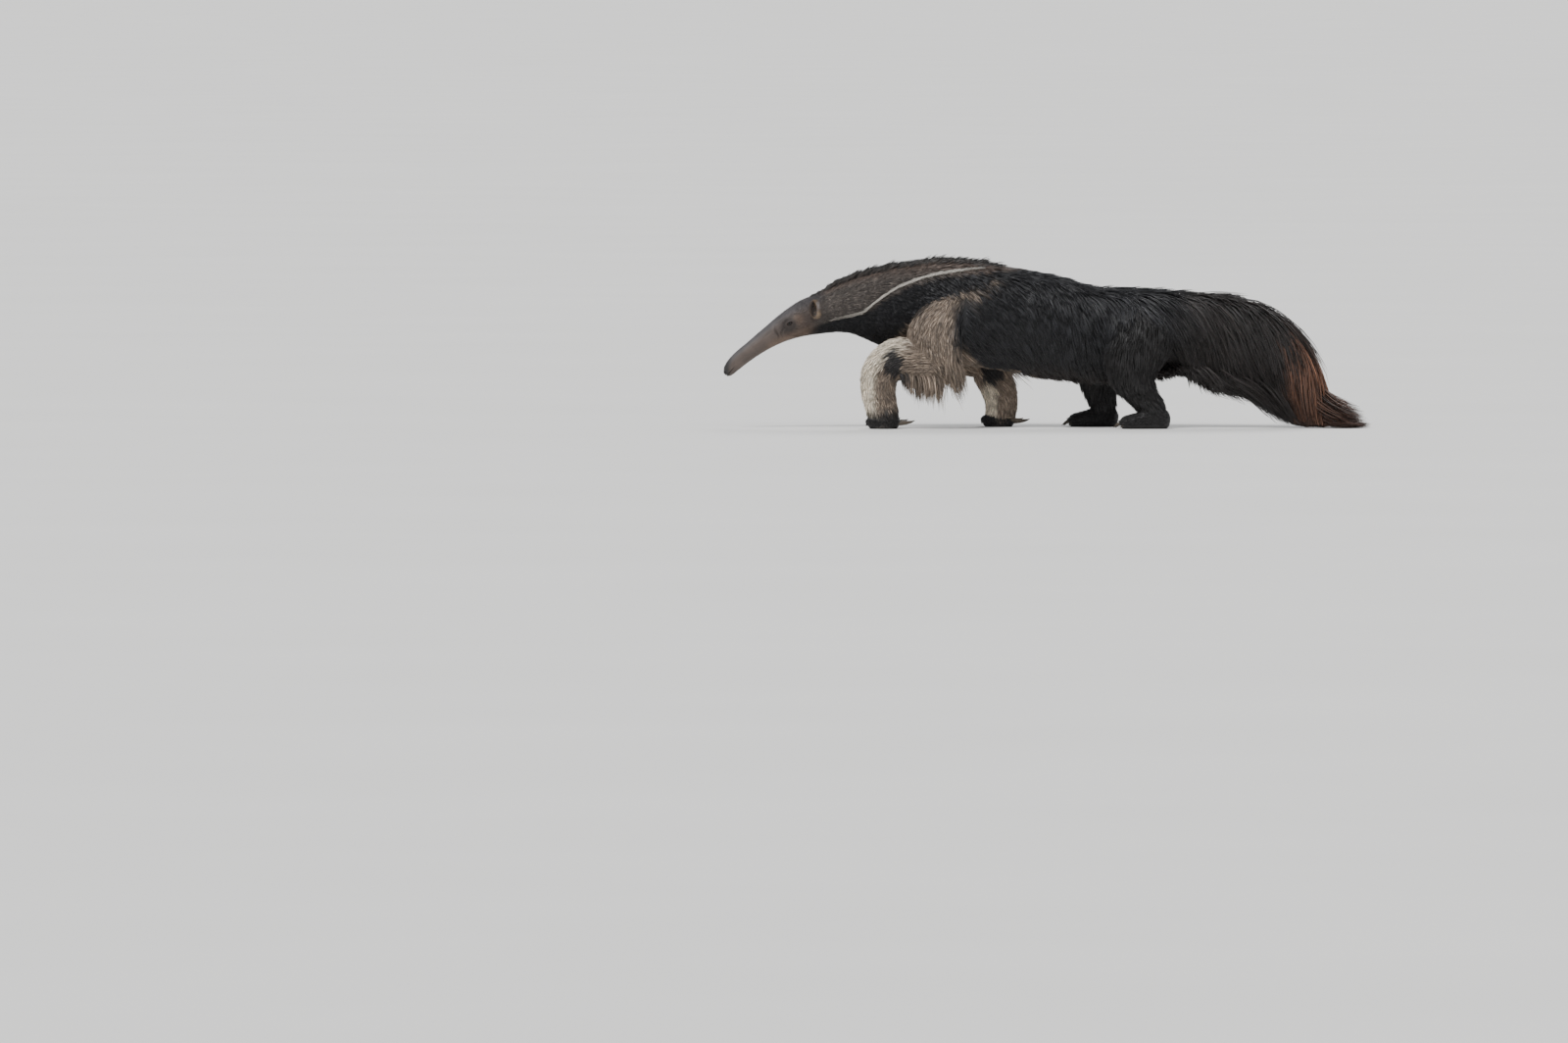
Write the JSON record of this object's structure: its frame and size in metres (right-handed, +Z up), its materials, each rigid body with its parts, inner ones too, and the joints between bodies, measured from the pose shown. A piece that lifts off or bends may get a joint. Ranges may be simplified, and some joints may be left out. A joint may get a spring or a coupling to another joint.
{
  "type": "giant anteater",
  "caption": "Giant anteater walking with its long head held low and its bushy tail trailing, as a still life-size model.",
  "frame": {"origin": "middle of the model's box in plan, on the floor that the feet stand on", "axes": "+X runs from the nose to the tail, +Y towards the animal's right side, +Z up"},
  "size_m": [1.9538, 0.3496, 0.5183],
  "materials": {
    "snout_skin": "short, close grey-brown hair over bare skin, dull",
    "coat_grey": "short bristly hair, grey-brown ticked with pale tips, a white line over a black throat band",
    "coat_arm": "grey-brown hair, creamy white in front, with a black wrist patch",
    "coat_black": "long black-brown hair with a soft sheen",
    "coat_tail": "very long coarse hair, black-brown turning brown at the end",
    "claw_horn": "smooth dark horn, paler at the tips",
    "eye_dark": "wet, almost black"
  },
  "bodies": {
    "root": {"claw_fore_left_1": "claw_horn", "claw_fore_left_2": "claw_horn", "claw_fore_left_3": "claw_horn", "claw_fore_left_4": "claw_horn", "claw_fore_right_1": "claw_horn", "claw_fore_right_2": "claw_horn", "claw_fore_right_3": "claw_horn", "claw_fore_right_4": "claw_horn", "claw_hind_left_1": "claw_horn", "claw_hind_left_2": "claw_horn", "claw_hind_left_3": "claw_horn", "claw_hind_left_4": "claw_horn", "claw_hind_left_5": "claw_horn", "claw_hind_right_1": "claw_horn", "claw_hind_right_2": "claw_horn", "claw_hind_right_3": "claw_horn", "claw_hind_right_4": "claw_horn", "claw_hind_right_5": "claw_horn", "ear_left": "coat_grey", "ear_right": "coat_grey", "eye_left": "eye_dark", "eye_right": "eye_dark", "forefoot_left": "coat_arm", "forefoot_right": "coat_arm", "foreleg_left": "coat_arm", "foreleg_right": "coat_arm", "head": "snout_skin", "hind_foot_left": "coat_black", "hind_foot_right": "coat_black", "hind_leg_left": "coat_black", "hind_leg_right": "coat_black", "neck": "coat_grey", "tail": "coat_tail", "torso": "coat_black"}
  },
  "joints": []
}
